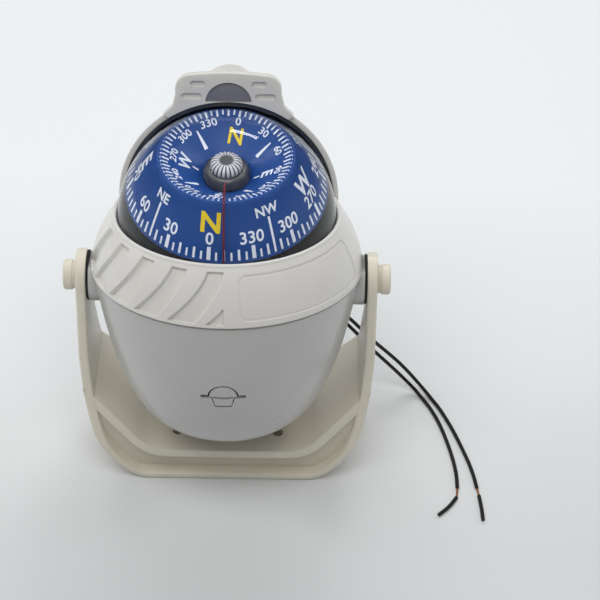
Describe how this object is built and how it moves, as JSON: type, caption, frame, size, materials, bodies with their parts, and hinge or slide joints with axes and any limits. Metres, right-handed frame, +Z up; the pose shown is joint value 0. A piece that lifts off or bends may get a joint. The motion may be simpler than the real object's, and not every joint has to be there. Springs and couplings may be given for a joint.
{
  "type": "marine compass",
  "caption": "Bracket-mount marine compass: a clear liquid-filled dome over a tilting round bowl with a lamp hood, a gimballed blue card and clamp knobs on a U bracket.",
  "frame": {"origin": "centre of the bracket's underside, on the surface that it is screwed to", "axes": "+Z up, -Y towards the reader in front, +X to the reader's right along the tilt axis"},
  "size_m": [0.1651, 0.1016, 0.1599],
  "materials": {
    "ivory_plastic": "moulded, slightly yellowed, satin gloss",
    "white_plastic": "moulded, glossy",
    "black_plastic": "moulded, fine matt",
    "black_gloss": "polished black",
    "clear_acrylic": "clear, polished",
    "smoky_acrylic": "smoky blue grey",
    "dial_blue": "blue with white and yellow printing",
    "cap_grey": "ribbed, light grey",
    "line_red": "painted red",
    "seal_rubber": "moulded rubber",
    "lead_rubber": "black insulation",
    "lead_copper": "bare stranded copper",
    "brass": "turned",
    "steel": "turned stainless",
    "magnet_steel": "dark magnet steel",
    "board_green": "lacquered board",
    "led_clear": "moulded lens",
    "lead_red": "red insulation"
  },
  "bodies": {
    "bracket": {"bracket": "ivory_plastic", "left_lead": "lead_rubber", "right_lead": "lead_rubber", "left_bare_end": "lead_copper", "right_bare_end": "lead_copper", "left_end_sleeve": "lead_rubber", "right_end_sleeve": "lead_rubber"},
    "left_knob": {"left_knob": "ivory_plastic", "left_stud": "steel"},
    "right_knob": {"right_knob": "ivory_plastic", "right_stud": "steel"},
    "bowl": {"left_washer": "seal_rubber", "right_washer": "seal_rubber", "bowl": "white_plastic", "left_insert": "brass", "right_insert": "brass", "bezel": "white_plastic", "capsule_screws": "steel", "hood": "white_plastic", "hood_liner": "black_plastic", "lamp_lens": "smoky_acrylic", "lamp_board": "board_green", "lamp_leds": "led_clear", "lamp_leads": "lead_red", "dome": "clear_acrylic", "capsule_seal": "seal_rubber", "capsule_base": "black_plastic", "diaphragm": "seal_rubber", "diaphragm_ring": "steel", "diaphragm_screws": "steel", "filler_plug": "brass", "lead_gland": "seal_rubber"},
    "gimbal_ring": {"gimbal_ring": "black_plastic", "ring_pins": "steel"},
    "gimbal_frame": {"gimbal_frame": "black_plastic", "frame_pins": "steel", "counterweight": "brass", "hub_cap": "black_gloss", "ribbed_cap": "cap_grey", "lubber_line": "line_red"},
    "card": {"card_skirt": "dial_blue", "card_crater": "dial_blue", "card_bush": "brass", "card_magnets": "magnet_steel"},
    "cover": {"compensator_cover": "white_plastic", "cover_pin": "steel"},
    "fore_aft": {"fore_aft_rod": "brass", "fore_aft_magnet": "magnet_steel"},
    "cross": {"cross_rod": "brass", "cross_magnet": "magnet_steel"}
  },
  "joints": [
    {"name": "bowl_tilt", "type": "hinge", "parent": "bracket", "child": "bowl", "pos_m": [0, 0, 0.088], "axis": [1, 0, 0], "range_deg": [-35, 35]},
    {"name": "left_knob_turn", "type": "hinge", "parent": "bracket", "child": "left_knob", "pos_m": [0, 0, 0.088], "axis": [-1, 0, 0], "range_deg": [0, 360]},
    {"name": "right_knob_turn", "type": "hinge", "parent": "bracket", "child": "right_knob", "pos_m": [0, 0, 0.088], "axis": [1, 0, 0], "range_deg": [0, 360]},
    {"name": "gimbal_pitch", "type": "hinge", "parent": "bowl", "child": "gimbal_ring", "pos_m": [0, 0.00567, 0.11255], "axis": [1, 0, 0], "range_deg": [-20, 20]},
    {"name": "gimbal_roll", "type": "hinge", "parent": "gimbal_ring", "child": "gimbal_frame", "pos_m": [0, 0.00567, 0.11255], "axis": [0, 1, 0], "range_deg": [-20, 20]},
    {"name": "card_heading", "type": "hinge", "parent": "gimbal_frame", "child": "card", "pos_m": [0, 0.00567, 0.11255], "axis": [0, 0, 1], "continuous": true},
    {"name": "cover_swing", "type": "hinge", "parent": "bowl", "child": "cover", "pos_m": [0, -0.04828, 0.06795], "axis": [1, 0, 0], "range_deg": [0, 75]},
    {"name": "fore_aft_turn", "type": "hinge", "parent": "bowl", "child": "fore_aft", "pos_m": [0, -0.0063, 0.06072], "axis": [0, 0.9744, -0.225], "continuous": true},
    {"name": "cross_turn", "type": "hinge", "parent": "bowl", "child": "cross", "pos_m": [0, -0.00495, 0.06656], "axis": [1, 0, 0], "continuous": true}
  ]
}
